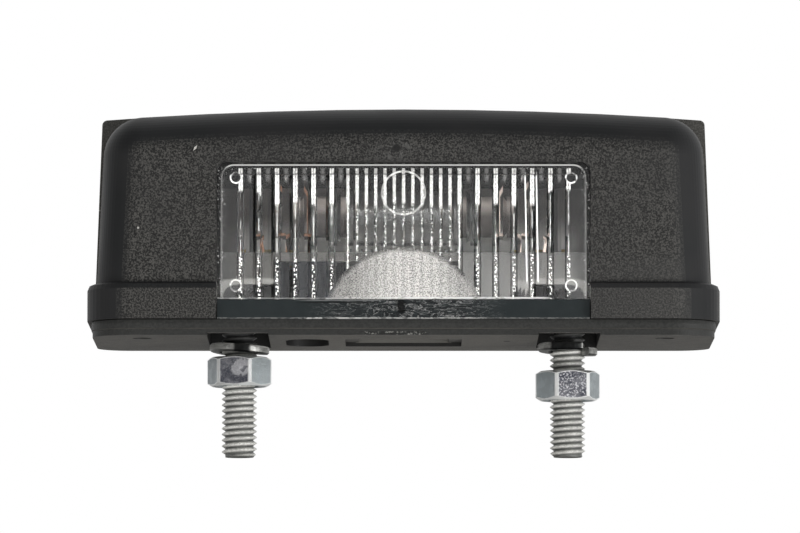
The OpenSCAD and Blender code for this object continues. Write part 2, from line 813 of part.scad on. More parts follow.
// Filament: a coil in the middle and a straight lead to each end of the glass
module bulb_filament() {
    lead_r = 0.15;
    end_x = glass_hl - glass_end_t - seat_gap;
    color("#8a8a8a")
        on_bulb_axis([[-end_x, 0], [-end_x, lead_r], [-coil_l / 2, lead_r], [-coil_l / 2, coil_r],
            [coil_l / 2, coil_r], [coil_l / 2, lead_r], [end_x, lead_r], [end_x, 0]]);
}

// Hexagon with its corners turned off at both ends, or at the top only
module hex_block(h, both) {
    edge_r = hex_corners / 2;
    face_r = hex_af * 0.475;
    slope = (edge_r - face_r) * tan(hex_slope);
    foot_r = both ? face_r : edge_r;
    intersection() {
        cylinder(r = hex_af / sqrt(3), h = h, $fn = 6);
        rotate_extrude($fn = round_fn)
            polygon([[0, 0], [foot_r, 0], [edge_r, both ? slope : slope / 2], [edge_r, h - slope],
                [face_r, h], [0, h]]);
    }
}

// Hexagon bolt, head up in its cradle, pointing down
module bolt(x) {
    color("#b4b8ba")
        translate([x, 0, head_z + seat_gap]) {
            rotate([0, 0, 30]) hex_block(head_h, false);
            translate([0, 0, -stud_l + stud_end_l])
                cylinder(r = stud_r, h = stud_l - stud_end_l + head_h / 2);
            translate([0, 0, -stud_l]) cylinder(r1 = stud_r * 0.8, r2 = stud_r, h = stud_end_l);
        }
}

module bolt_left() {
    bolt(-stud_x);
}

module bolt_right() {
    bolt(stud_x);
}

module nut(x, drop, turn) {
    bore = stud_r + nut_play;
    color("#a9b4ba")
        translate([x, 0, -drop - nut_h])
            difference() {
                rotate([0, 0, turn]) hex_block(nut_h, true);
                translate([0, 0, -cut]) cylinder(r = bore, h = nut_h + 2 * cut);
                for (m = [0, 1])
                    translate([0, 0, m * nut_h]) mirror([0, 0, m]) translate([0, 0, -slice])
                        cylinder(r1 = bore + nut_lead_in, r2 = bore, h = nut_lead_in);
            }
}

module nut_left() {
    nut(-stud_x, nut_left_drop, nut_left_turn);
}

module nut_right() {
    nut(stud_x, nut_right_drop, nut_right_turn);
}

// Split spring washer: a ring with broken edges that sinks from one cut end to the other
washer_steps = 40;
// Where each washer's cut points, seen from above
washer_left_cut = 90;
washer_right_cut = -52;
module spring_washer(x, cut_angle, tilt) {
    inner = stud_r + washer_play;
    e = washer_edge;
    h = washer_t / 2;
    section = [[inner + e, h], [inner, h - e], [inner, e - h], [inner + e, -h], [washer_r - e, -h],
        [washer_r, e - h], [washer_r, h - e], [washer_r - e, h]];
    n = len(section);
    rows = [for (i = [0:washer_steps]) let (u = i / washer_steps,
        a = cut_angle - washer_cut / 2 - (360 - washer_cut) * u, z = washer_rise * (0.5 - u))
        for (q = section) [q[0] * cos(a), q[0] * sin(a), q[1] + z]];
    sides = [for (i = [0:washer_steps - 1], k = [0:n - 1])
        [n * i + n + k, n * i + n + (k + 1) % n, n * i + (k + 1) % n, n * i + k]];
    start = [for (k = [0:n - 1]) k];
    end = [for (k = [n - 1:-1:0]) n * washer_steps + k];
    color("#9ea4a6")
        translate([x, 0, washer_z]) rotate([0, tilt, 0])
            polyhedron(rows, concat([start], sides, [end]), 4);
}

module spring_washer_left() {
    spring_washer(-stud_x, washer_left_cut, 1.5 * washer_tilt);
}

module spring_washer_right() {
    spring_washer(stud_x, washer_right_cut, washer_tilt / 2);
}

// Small screw with a low round head and a cross slot, its head towards -Z before it is turned
module small_screw(head_r) {
    slot = head_r * 0.36;
    difference() {
        union() {
            cylinder(r1 = head_r * 0.8, r2 = head_r, h = screw_head_h * 0.4);
            translate([0, 0, screw_head_h * 0.4]) cylinder(r = head_r, h = screw_head_h * 0.6);
            cylinder(r = screw_r, h = screw_head_h + screw_l - screw_r);
            translate([0, 0, screw_head_h + screw_l - screw_r])
                cylinder(r1 = screw_r, r2 = screw_tip_r, h = screw_r);
        }
        for (a = [0, 90])
            rotate([0, 0, a])
                translate([-head_r * 0.6, -slot / 2, -cut]) cube([head_r * 1.2, slot, cut + screw_slot_h]);
    }
}

module hood_screw(x) {
    color("#8d9092")
        translate([x, hood_screw_y, sink_h - screw_head_h - seat_gap]) small_screw(hood_head_r);
}

module hood_screw_left() {
    hood_screw(-hood_screw_x);
}

module hood_screw_right() {
    hood_screw(hood_screw_x);
}

module carrier_screw(x) {
    color("#8d9092")
        translate([x, 0, floor_top + screw_head_h + seat_gap])
            mirror([0, 0, 1]) small_screw(carrier_head_r);
}

module carrier_screw_left() {
    carrier_screw(-carrier_screw_x);
}

module carrier_screw_right() {
    carrier_screw(carrier_screw_x);
}

base();
hood();
lens();
lens_seal();
bulb_carrier();
contact_left();
contact_right();
rivet_left();
rivet_right();
bulb_glass();
bulb_cap_left();
bulb_cap_right();
bulb_filament();
bolt_left();
bolt_right();
spring_washer_left();
spring_washer_right();
nut_left();
nut_right();
hood_screw_left();
hood_screw_right();
carrier_screw_left();
carrier_screw_right();
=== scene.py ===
import bpy
import bmesh
import math
from mathutils import Matrix, Vector


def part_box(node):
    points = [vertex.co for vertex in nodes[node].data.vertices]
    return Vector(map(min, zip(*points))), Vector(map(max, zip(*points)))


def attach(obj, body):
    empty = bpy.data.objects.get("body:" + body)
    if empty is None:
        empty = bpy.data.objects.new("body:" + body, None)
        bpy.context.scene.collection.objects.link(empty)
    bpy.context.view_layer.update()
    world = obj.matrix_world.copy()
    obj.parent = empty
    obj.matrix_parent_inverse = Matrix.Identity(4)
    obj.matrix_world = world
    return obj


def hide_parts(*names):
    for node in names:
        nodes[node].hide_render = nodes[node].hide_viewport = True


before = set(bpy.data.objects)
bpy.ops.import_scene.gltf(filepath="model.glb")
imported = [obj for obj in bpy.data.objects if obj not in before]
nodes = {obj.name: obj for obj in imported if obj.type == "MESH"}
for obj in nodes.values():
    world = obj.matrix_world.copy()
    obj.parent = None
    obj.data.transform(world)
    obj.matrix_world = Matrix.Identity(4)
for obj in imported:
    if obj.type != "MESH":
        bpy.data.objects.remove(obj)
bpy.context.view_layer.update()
mm = 0.001
studX = 28.0  # each stud's distance from the middle, in millimetres
print("frame loaded:", len(nodes), "nodes")


# puts a wire, a colour or a plain number into a socket
def join(tree, value, socket):
    if isinstance(value, Wire):
        tree.links.new(value.socket, socket)
    elif isinstance(value, (tuple, list)):
        socket.default_value = tuple(value) + ((1.0,) if socket.type == "RGBA" and len(value) == 3 else ())
    else:
        socket.default_value = value


# shader maths as plain sums
class Wire:
    def __init__(self, tree, socket):
        self.tree, self.socket = tree, socket

    def maths(self, operation, *values):
        step = self.tree.nodes.new("ShaderNodeMath")
        step.operation = operation
        for value, socket in zip(values, step.inputs):
            join(self.tree, value, socket)
        return Wire(self.tree, step.outputs[0])

    def __add__(self, other): return self.maths("ADD", self, other)
    def __radd__(self, other): return self.maths("ADD", other, self)
    def __sub__(self, other): return self.maths("SUBTRACT", self, other)
    def __rsub__(self, other): return self.maths("SUBTRACT", other, self)
    def __mul__(self, other): return self.maths("MULTIPLY", self, other)
    def __rmul__(self, other): return self.maths("MULTIPLY", other, self)
    def __truediv__(self, other): return self.maths("DIVIDE", self, other)
    def __rtruediv__(self, other): return self.maths("DIVIDE", other, self)
    def __neg__(self): return self.maths("MULTIPLY", self, -1.0)
    def __abs__(self): return self.maths("ABSOLUTE", self)
    def __gt__(self, other): return self.maths("GREATER_THAN", self, other)
    def __lt__(self, other): return self.maths("LESS_THAN", self, other)
    def least(self, other): return self.maths("MINIMUM", self, other)
    def most(self, other): return self.maths("MAXIMUM", self, other)
    def fraction(self): return self.maths("FRACT", self)
    def root(self): return self.maths("SQRT", self)
    def sine(self): return self.maths("SINE", self)


# one material, with places in millimetres and normals ready to use
class Finish:
    def __init__(self, name):
        self.material = bpy.data.materials.new(name)
        self.material.use_nodes = True
        self.tree = self.material.node_tree
        self.tree.nodes.clear()
        self.place = self.node("ShaderNodeTexCoord", out="Object")
        self.x, self.y, self.z = [part / mm for part in self.parts(self.place)]
        self.nx, self.ny, self.nz = self.parts(self.node("ShaderNodeNewGeometry", out="Normal"))

    # any node: its kind, its own settings first, then what goes into its sockets
    def node(self, kind, settings=None, values=None, out=0):
        made = self.tree.nodes.new(kind)
        for key, value in (settings or {}).items():
            setattr(made, key, value)
        for key, value in (values or {}).items():
            join(self.tree, value, made.inputs[key])
        return Wire(self.tree, made.outputs[out])

    def parts(self, vector):
        return [self.node("ShaderNodeSeparateXYZ", {}, {"Vector": vector}, out=i) for i in range(3)]

    # 1 on faces that are turned to the lamp's own front
    def onFront(self, least=0.5):
        return self.ny < -least

    # how far outside the nearer stud's axis, and how far from that axis all round
    def aroundStud(self):
        aside = abs(self.x) - studX
        return aside, (aside * aside + self.y * self.y).root()

    def noise(self, scale, detail=2.0, roughness=0.5, stretch=None, distortion=0.0):
        place = self.place
        if stretch:
            place = self.node("ShaderNodeMapping", {}, {"Vector": place, "Scale": stretch})
        return self.node("ShaderNodeTexNoise", {}, {"Vector": place, "Scale": scale, "Detail": detail,
                         "Roughness": roughness, "Distortion": distortion})

    def dots(self, scale):
        return self.node("ShaderNodeTexVoronoi", {"feature": "F1"}, {"Vector": self.place, "Scale": scale})

    # 0 below low, 1 above high, smooth between
    def ease(self, value, low, high):
        return self.node("ShaderNodeMapRange", {"interpolation_type": "SMOOTHSTEP"},
                         {"Value": value, "From Min": low, "From Max": high})

    def blend(self, amount, low, high):
        return self.node("ShaderNodeMix", {"data_type": "RGBA"}, {0: amount, 6: low, 7: high}, out=2)

    def bump(self, height, strength, distance=0.0001):
        return self.node("ShaderNodeBump", {}, {"Height": height, "Strength": strength, "Distance": distance})

    def shader(self, values):
        return self.node("ShaderNodeBsdfPrincipled", {}, values)

    def mixShader(self, amount, first, second):
        return self.node("ShaderNodeMixShader", {}, {0: amount, 1: first, 2: second})

    def done(self, shader):
        out = self.tree.nodes.new("ShaderNodeOutputMaterial")
        self.tree.links.new(shader.socket, out.inputs["Surface"])
        return self.material


# the camera stands far off and slightly below, so nearly without perspective
view = {"aim": (-0.6, 0.0, 13.1), "distance": 1500.0, "below": 4.7, "lens": 395.0, "sensor": 36.0,
        "clip": (0.05, 20.0)}


def makeCamera():
    tilt = math.radians(view["below"])
    aim = Vector(view["aim"]) * mm
    towards = Vector((0, math.cos(tilt), math.sin(tilt)))
    data = bpy.data.cameras.new("camera")
    data.lens, data.sensor_width = view["lens"], view["sensor"]
    data.clip_start, data.clip_end = view["clip"]
    camera = bpy.data.objects.new("camera", data)
    camera.location = aim - towards * view["distance"] * mm
    camera.rotation_mode = "QUATERNION"
    camera.rotation_quaternion = towards.to_track_quat("-Z", "Y")
    bpy.context.scene.collection.objects.link(camera)
    bpy.context.scene.camera = camera


makeCamera()
print("camera made")


# floor, room and lamps; each range of the room is a share of the way a ray goes, from none to full
bpy.context.scene.view_settings.view_transform = "Standard"
studio = {"floorShade": (0.80, 0.80, 0.79), "floorPale": 1.04, "floorSize": 3.0, "floorGap": 0.02,
          "roomLight": 0.40, "dark": 0.06, "wall": 0.50, "aheadRange": (0.22, 0.50), "paperRange": (-0.1, 0.5),
          "rightSide": 0.40, "rightRange": (0.1, 0.8), "leftSide": -0.25, "leftRange": (0.2, 0.8),
          "ceiling": -0.30, "ceilingRange": (0.2, 0.8), "lowSide": 0.25, "lowRange": (0.1, 0.6),
          "throughWindow": 9.50, "throughRight": 5.10, "throughLow": 4.20, "throughAhead": 1.40,
          "throughRange": (0.12, 0.34), "lampAim": 10,
          "lamps": [  # name, place, size, watts, colour
              ("rightLamp", (1.20, -0.85, -0.50), 0.6, 12.5, (1.0, 1.0, 0.99)),
              ("leftLamp", (-1.00, -1.00, -0.50), 0.6, 4.0, (1.0, 0.99, 0.97)),
              ("lowLamp", (0.15, -0.85, -0.65), 0.5, 3.6, (1.0, 0.97, 0.93)),
              ("topLamp", (0.0, 0.20, 1.10), 0.6, 0.9, (1.0, 1.0, 1.0))]}


# pale paper; from below it lets the eye through, and it stops no lamp
def makeFloor(height):
    paper = Finish("palePaper")
    tooth = paper.noise(900.0, 3.0)
    shade = paper.blend(tooth, studio["floorShade"], tuple(c * studio["floorPale"] for c in studio["floorShade"]))
    solid = paper.shader({"Base Color": shade, "Roughness": 0.75, "Normal": paper.bump(tooth, 0.1, 0.0002)})
    clear = paper.node("ShaderNodeBsdfTransparent")
    fromBelow = paper.node("ShaderNodeNewGeometry", out="Backfacing")
    lampRay = paper.node("ShaderNodeLightPath", out="Is Shadow Ray")
    bm = bmesh.new()
    bmesh.ops.create_grid(bm, x_segments=4, y_segments=4, size=studio["floorSize"] / 2,
                          matrix=Matrix.Translation((0, 0, height)))
    mesh = bpy.data.meshes.new("floor")
    bm.to_mesh(mesh)
    bm.free()
    floor = bpy.data.objects.new("floor", mesh)
    bpy.context.scene.collection.objects.link(floor)
    mesh.materials.append(paper.done(paper.mixShader(fromBelow.most(lampRay), solid, clear)))


# white paper behind the lamp, dark behind the camera; metal and gloss mirror the sides,
# and what the lens lets through is stronger, because its glass stops the lamps
def makeRoom():
    k = studio
    world = bpy.data.worlds.new("room")
    bpy.context.scene.world = world
    world.use_nodes = True
    tree = world.node_tree
    tree.nodes.clear()
    path = tree.nodes.new("ShaderNodeLightPath")
    rays = {name: Wire(tree, path.outputs["Is %s Ray" % name]) for name in ("Camera", "Glossy", "Transmission")}
    way = tree.nodes.new("ShaderNodeSeparateXYZ")
    tree.links.new(tree.nodes.new("ShaderNodeTexCoord").outputs["Generated"], way.inputs[0])
    x, y, z = [Wire(tree, way.outputs[i]) for i in range(3)]

    def ramp(value, low, high):
        step = tree.nodes.new("ShaderNodeMapRange")
        step.interpolation_type = "SMOOTHSTEP"
        for key, given in (("Value", value), ("From Min", low), ("From Max", high)):
            join(tree, given, step.inputs[key])
        return Wire(tree, step.outputs[0])

    right, low = ramp(x, *k["rightRange"]), ramp(-z, *k["lowRange"])
    wall = (k["wall"] + k["rightSide"] * right + k["leftSide"] * ramp(-x, *k["leftRange"])
            + k["ceiling"] * ramp(z, *k["ceilingRange"]) + k["lowSide"] * low)
    ahead = ramp((x * x + z * z).root(), *k["aheadRange"])
    wall = k["dark"] + (wall - k["dark"]) * ahead
    paper = ramp(y, *k["paperRange"])
    mirrored = paper + wall * (1 - paper)
    through = k["throughWindow"] + k["throughRight"] * right + k["throughLow"] * low
    through = k["throughAhead"] + (through - k["throughAhead"]) * ramp(abs(z), *k["throughRange"])
    other = k["roomLight"] + rays["Transmission"] * (through - k["roomLight"])
    other = other + rays["Glossy"] * (1 - rays["Transmission"]) * (mirrored - k["roomLight"])
    strength = rays["Camera"] + (1 - rays["Camera"]) * other
    back = tree.nodes.new("ShaderNodeBackground")
    join(tree, (1.0, 1.0, 1.0), back.inputs["Color"])
    join(tree, strength, back.inputs["Strength"])
    out = tree.nodes.new("ShaderNodeOutputWorld")
    tree.links.new(back.outputs[0], out.inputs["Surface"])


def makeLamps():
    aim = Vector((0, 0, studio["lampAim"] * mm))
    for name, place, size, watts, colour in studio["lamps"]:
        data = bpy.data.lights.new(name, "AREA")
        data.shape, data.size, data.energy, data.color = "SQUARE", size, watts, colour
        lamp = bpy.data.objects.new(name, data)
        lamp.location = place
        lamp.rotation_mode = "QUATERNION"
        lamp.rotation_quaternion = (aim - Vector(place)).to_track_quat("-Z", "Y")
        bpy.context.scene.collection.objects.link(lamp)


makeFloor(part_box("bolt_left")[0].z - studio["floorGap"] * mm)
makeRoom()
makeLamps()
print("floor, room and lamps made")


# the finishes: places in their dictionaries are in millimetres, shades are linear
# the hood is grained where it is flat, smooth where it is rounded, and painted near-black on its inner back wall
# behind the window as painted shade
hoodLook = {"flat": (0.90, 0.999), "innerBack": 17.0, "innerHalf": 34.0, "innerTop": 33.0, "flangeFront": 15.0,
            "paleX": (20.0, 48.0), "paleZ": (12.0, 14.0), "gate": (-1.2, 31.7), "gateSquash": 1.6,
            "gateSwirl": (1.0, 4.2), "gateR": (0.5, 0.9), "fleck": (-35.2, 31.7), "fleckLean": 0.7,
            "fleckSlim": 3.0, "fleckR": 0.75, "dustR": 0.028,
            "pits": (0.002, 0.002, 0.002), "peaks": (0.084, 0.082, 0.077), "clouded": (0.020, 0.020, 0.021),
            "pale": (0.13, 0.13, 0.125), "swirled": (0.16, 0.16, 0.155), "gateMark": (0.006, 0.006, 0.006),
            "dusty": (0.55, 0.54, 0.51), "flangeTint": (0.16, 0.155, 0.14), "innerShade": (0.003, 0.003, 0.003),
            "smoothDark": (0.017, 0.018, 0.019), "smoothPale": (0.022, 0.022, 0.023)}


def hoodPlastic():
    k = hoodLook
    f = Finish("grainedBlackPlastic")
    flat = abs(f.nx).most(abs(f.ny)).most(abs(f.nz))
    # painted shade: the inner back wall seen through the window is painted darker than the rest of the hood
    inner = (f.y > k["innerBack"]) * f.onFront() * (abs(f.x) < k["innerHalf"]) * (f.z < k["innerTop"])
    grained = f.ease(flat, *k["flat"]) * (1 - inner)
    grain = f.noise(2300.0, 3.0, 0.65)
    specks = f.ease(f.noise(3300.0, 3.0, 0.75), 0.43, 0.61)
    cloud = f.ease(f.noise(75.0, 3.0), 0.35, 0.65)
    shade = f.blend(specks, k["pits"], k["peaks"])
    shade = f.blend(cloud * 0.35, shade, k["clouded"])
    # painted light: the hood is paler towards its right end, less so higher up, as if lit from the right
    shade = f.blend(f.ease(f.x, *k["paleX"]) * (0.14 - 0.10 * f.ease(f.z, *k["paleZ"])), shade, k["pale"])
    gx, gz = f.x - k["gate"][0], f.z - k["gate"][1]
    gateFar = (gx * gx + gz * gz * k["gateSquash"]).root()
    curls = f.ease(f.noise(420.0, 4.0, 0.6, None, 2.5), 0.5, 0.62)
    swirl = curls * (1 - f.ease(gateFar, *k["gateSwirl"])) * f.onFront(0.9)
    shade = f.blend(swirl * 0.5, shade, k["swirled"])
    shade = f.blend((1 - f.ease(gateFar, *k["gateR"])) * f.onFront(0.9), shade, k["gateMark"])
    fx, fz = f.x - k["fleck"][0], f.z - k["fleck"][1]
    fleck = (abs(fx - k["fleckLean"] * fz) * k["fleckSlim"] + abs(fz + k["fleckLean"] * fx)) < k["fleckR"]
    dust = f.dots(150.0) < k["dustR"]
    shade = f.blend((fleck * f.onFront(0.9)).most(dust * 0.8), shade, k["dusty"])
    flange = (f.y > k["flangeFront"]) * (1 - inner) * f.onFront()
    shade = f.blend(flange * 0.28, shade, k["flangeTint"])
    rough = f.shader({"Base Color": shade, "Roughness": 0.58 + 0.14 * specks, "IOR": 1.45,
                      "Normal": f.bump(grain * grained, 0.7, 0.00014)})
    plain = f.blend(cloud, k["smoothDark"], k["smoothPale"])
    smooth = f.shader({"Base Color": f.blend(inner, plain, k["innerShade"]), "Roughness": 0.46 + 0.06 * cloud,
                       "IOR": 1.28, "Normal": f.bump(f.noise(900.0, 2.0), 0.10)})
    return f.done(f.mixShader(grained, smooth, rough))


# the base is painted near-black as painted shade in its channels, slot and pocket, paler below as painted light, and
# glossy on the strip in front
baseLook = {"stripHalf": 31.46, "stripFoot": 2.7, "stripFront": -16.0, "rimTop": (0.95, 1.05), "channelHalf": 5.3,
            "slotX": -16.4, "slotHalf": (3.8, 8.7), "pocketHalf": 10.0, "backWall": 18.0, "underside": 0.05,
            "inside": 6.3, "middle": (12.0, 26.0), "pocketWall": 8.25, "pocketWallFoot": 0.62,
            "pocketWallHalf": 8.2, "flashShift": 1.6, "flashHalf": 6.5, "flashTop": (0.50, 0.70),
            "gate": (-0.4, 4.80), "gateSquash": 1.7, "gateR": (0.7, 1.15), "marksX": 0.5, "marksHalf": 18.0,
            "nearShift": 3.5, "near": (5.0, 11.0), "streaksFrom": (3.5, 5.0), "streaksTo": (15.0, 19.0),
            "paleStreak": 5.85, "darkStreak": 5.42, "streakHalf": (0.07, 0.16), "footLine": (2.90, 3.02),
            "dashesFrom": (6.0, 7.5), "dashesTo": (-19.0, -16.0),
            "bodyDark": (0.020, 0.021, 0.020), "bodyPale": (0.036, 0.037, 0.035), "rimShade": (0.012, 0.012, 0.012),
            "underDark": (0.034, 0.032, 0.028), "underPale": (0.058, 0.054, 0.047),
            "underMiddle": (0.125, 0.118, 0.104), "underDust": (0.085, 0.081, 0.073),
            "deepShade": (0.004, 0.004, 0.004), "wallShade": (0.11, 0.108, 0.10), "tipShade": (0.30, 0.30, 0.28),
            "stripDark": (0.018, 0.024, 0.026), "stripPale": (0.028, 0.034, 0.036),
            "creaseDark": (0.003, 0.004, 0.005), "creasePale": (0.40, 0.40, 0.40),
            "streakPale": (0.20, 0.205, 0.205), "streakDark": (0.003, 0.004, 0.004),
            "dashShade": (0.85, 0.85, 0.83), "pitShade": (0.002, 0.002, 0.002),
            "matteDark": (0.006, 0.007, 0.009), "mattePale": (0.016, 0.018, 0.022)}


def basePlastic():
    k = baseLook
    f = Finish("baseBlackPlastic")
    mottle = f.noise(420.0, 4.0, 0.6)
    fine = f.ease(f.noise(2600.0, 3.0, 0.65), 0.35, 0.65)
    under = f.ease(-f.nz, 0.5, 0.95)
    strip = (f.z > k["stripFoot"]) * (abs(f.x) < k["stripHalf"]) * (f.y < k["stripFront"])
    channel = (abs(abs(f.x) - studX) < k["channelHalf"]) * (f.y > k["stripFront"])
    slot = (abs(f.x - k["slotX"]) < k["slotHalf"][0]) * (abs(f.y) < k["slotHalf"][1])
    pocket = (abs(f.x) < k["pocketHalf"]) * (f.y > 0.0) * (f.y < k["backWall"])
    # painted shade: the channels, slot and pocket are darkened to near black
    shadedRecess = channel.most(slot).most(pocket) * (f.z > k["underside"]) * (f.z < k["inside"])
    shade = f.blend(fine, k["bodyDark"], k["bodyPale"])
    shade = f.blend(f.ease(f.z, *k["rimTop"]) * 0.5, f.blend(0.35, shade, k["rimShade"]), shade)
    # painted light: faces turned down are paler, palest in the middle, as if lit from below
    underShade = f.blend(f.ease(mottle, 0.35, 0.65), k["underDark"], k["underPale"])
    underShade = f.blend((1 - f.ease(abs(f.x), *k["middle"])) * 0.40, underShade, k["underMiddle"])
    shade = f.blend(under, shade, f.blend(fine * 0.25, underShade, k["underDust"]))
    shade = f.blend(shadedRecess * (1 - 0.45 * under) * 0.92, shade, k["deepShade"])
    pocketWall = ((abs(f.y - k["pocketWall"]) < 0.3) * (f.z > k["pocketWallFoot"])
                  * (abs(f.x) < k["pocketWallHalf"]) * f.onFront())
    shade = f.blend(pocketWall, shade, k["wallShade"])
    # torn flash under the strip
    tips = f.noise(2600.0, 3.0, 0.7, (0.6, 1.0, 1.0))
    flash = (f.ease(k["flashHalf"] - abs(f.x + k["flashShift"]), 0.0, 2.0) * (1 - f.ease(f.z, *k["flashTop"]))
             * f.onFront() * (f.y < k["stripFront"]))
    shade = f.blend(flash * (1 - f.ease(tips, 0.44, 0.52)) * 0.8, shade, k["deepShade"])
    shade = f.blend(flash * f.ease(tips, 0.55, 0.60) * 0.7, shade, k["tipShade"])
    body = f.shader({"Base Color": shade, "Roughness": 0.52 + 0.10 * fine, "IOR": 1.45,
                     "Normal": f.bump(mottle * 0.5 + fine * 0.3, 0.5)})
    # the strip shows how the plastic flowed in from its gate, in fine curled creases, with painted highlights and
    # painted shade along them
    flow = f.noise(780.0, 4.0, 0.7, (0.35, 1.0, 1.3), 2.2)
    specks = f.ease(f.noise(2600.0, 2.0, 0.7, (0.5, 1.0, 1.0)), 0.42, 0.58)
    marks = f.ease(k["marksHalf"] - abs(f.x - k["marksX"]), 0.0, 9.0)
    near = 1 - f.ease(abs(f.x - k["gate"][0] - k["nearShift"]), *k["near"])
    dark = (1 - f.ease(abs(flow - 0.47), 0.014, 0.050)) * marks
    light = (1 - f.ease(abs(flow - 0.545), 0.008, 0.032)) * marks * (0.35 + 0.65 * specks)
    shade = f.blend(mottle, k["stripDark"], k["stripPale"])
    # painted shade along the dark creases, painted highlights along the pale ones
    shade = f.blend(dark * (0.55 + 0.35 * near), shade, k["creaseDark"])
    shade = f.blend(light * (0.50 + 0.45 * near), shade, k["creasePale"])
    leftHalf = f.ease(-f.x, *k["streaksFrom"]) * (1 - f.ease(-f.x, *k["streaksTo"]))
    pale = (1 - f.ease(abs(f.z - k["paleStreak"]), *k["streakHalf"])) * leftHalf
    shade = f.blend(pale * 0.7, shade, k["streakPale"])
    dark = (1 - f.ease(abs(f.z - k["darkStreak"] - flow * 0.2), *k["streakHalf"])) * leftHalf
    shade = f.blend(dark * 0.85, shade, k["streakDark"])
    # painted highlight: bright dashes along the foot of the strip
    foot = 1 - f.ease(f.z, *k["footLine"])
    dashes = (f.ease(f.noise(1100.0, 3.0, 0.6, (0.5, 1.0, 1.0)), 0.42, 0.54)
              * f.ease(-f.x, *k["dashesFrom"]) * f.ease(f.x, *k["dashesTo"]))
    shade = f.blend(foot * dashes.most((0.22 + 0.45 * specks) * marks.most(0.35)) * 0.95, shade, k["dashShade"])
    gx, gz = f.x - k["gate"][0], f.z - k["gate"][1]
    pit = 1 - f.ease((gx * gx * k["gateSquash"] + gz * gz).root() + (flow - 0.5) * 2.0, *k["gateR"])
    shade = f.blend(pit * 0.9, shade, k["pitShade"])
    glossy = f.shader({"Base Color": shade, "Roughness": 0.30 + 0.1 * mottle, "IOR": 1.36,
                       "Normal": f.bump(flow * marks * 1.5 + mottle * 0.2 - pit, 0.8, 0.0003)})
    # painted shade: the base's parts inside the housing are darker than the same plastic outside
    inside = f.z > k["inside"]
    matte = f.shader({"Base Color": f.blend(fine, k["matteDark"], k["mattePale"]), "Roughness": 0.6,
                      "Specular IOR Level": 0.2, "Normal": f.bump(fine, 0.2)})
    return f.done(f.mixShader(inside, f.mixShader(strip, body, glossy), matte))


# plating over rolled threads: painted highlights on the crests, darker roots, and painted shadow inside the channel
threadLook = {"crest": (2.42, 2.80), "channelFoot": (-1.2, -0.1),
              "rootShade": (0.15, 0.155, 0.15), "crestShade": (1.0, 1.0, 0.97),
              "wornShade": (0.12, 0.12, 0.11), "insideShade": (0.02, 0.021, 0.023)}


def threadZinc():
    k = threadLook
    f = Finish("threadZinc")
    far = f.aroundStud()[1]
    crest = f.ease(far, *k["crest"])
    cloud = f.ease(f.noise(650.0, 4.0, 0.65), 0.36, 0.64)
    fine = f.noise(2400.0, 3.0, 0.65)
    worn = f.ease(f.noise(2000.0, 4.0, 0.75, (1.0, 1.0, 1.6)), 0.40, 0.58)
    # painted highlight on the crests; the roots are darker
    shade = f.blend(crest * (0.72 + 0.28 * cloud), k["rootShade"], k["crestShade"])
    shade = f.blend((1 - worn) * 0.26, shade, k["wornShade"])
    # painted shadow where the stud runs up inside the channel
    shade = f.blend(f.ease(f.z, *k["channelFoot"]) * 0.88, shade, k["insideShade"])
    return f.done(f.shader({"Base Color": shade, "Metallic": 0.30, "Roughness": 0.34 + 0.22 * fine,
                            "Normal": f.bump(cloud * 0.5 + fine * 0.5, 0.4)}))


# the nuts are mottled in front, plain at the sides with each side facet painted lighter or darker as painted light,
# all framed by painted highlights on their edges
nutLook = {"middles": (-5.0, -7.4), "half": 2.5, "faceR": 4.655, "cornerR": 5.41, "cornerSoft": 0.08,
           "chamfer": 0.577, "edge": (0.04, 0.19), "facing": (0.75, 0.95), "blotch": (-27.8, -4.4),
           "blotchR": (0.8, 1.3), "mottleDark": (0.12, 0.125, 0.155), "mottlePale": (0.86, 0.86, 0.90),
           "plainDark": (0.17, 0.19, 0.20), "plainPale": (0.74, 0.81, 0.84), "edgeShade": (0.98, 0.99, 0.99)}


def nutZinc():
    k = nutLook
    f = Finish("nutZinc")
    far = f.aroundStud()[1]
    rightNut, rightFace = f.x > 0.0, f.nx > 0.0
    middle = k["middles"][0] + rightNut * (k["middles"][1] - k["middles"][0])
    slope = k["half"] - (far - k["faceR"]) * k["chamfer"] - abs(f.z - middle)
    ragged = f.noise(1500.0, 2.0, 0.6)
    corner = f.ease(far, k["cornerR"], k["cornerR"] + k["cornerSoft"])
    # painted highlight along the chamfers and corners
    edge = (1 - f.ease(slope + (ragged - 0.5) * 0.2, *k["edge"])).most(corner)
    patch = f.ease(f.noise(480.0, 3.0, 0.6), 0.42, 0.60)
    spark = f.ease(f.noise(2900.0, 2.0, 0.8), 0.52, 0.60)
    facing = f.ease(-f.ny, *k["facing"])
    bx, bz = f.x - k["blotch"][0], f.z - k["blotch"][1]
    blotch = 1 - f.ease((bx * bx + bz * bz).root() + (patch - 0.5) * 1.2, *k["blotchR"])
    light = (patch * 0.22 + spark * (0.18 + 0.62 * rightNut) + blotch * 0.65).least(1.0)
    mottled = f.blend(light, k["mottleDark"], k["mottlePale"])
    # painted light: each side facet is lighter or darker as if lit from the right, set per nut
    facetLight = 0.10 + 0.85 * rightFace + rightNut * (0.50 - 1.15 * rightFace) + (patch - 0.5) * 0.12
    plain = f.blend(facetLight, k["plainDark"], k["plainPale"])
    shade = f.blend(edge * (0.70 + 0.25 * rightNut), f.blend(facing, plain, mottled), k["edgeShade"])
    return f.done(f.shader({"Base Color": shade, "Metallic": 1.0 - 0.45 * edge, "Roughness": 0.28 + 0.18 * ragged,
                            "Normal": f.bump(patch * 0.3 + spark * 0.7, 0.30)}))


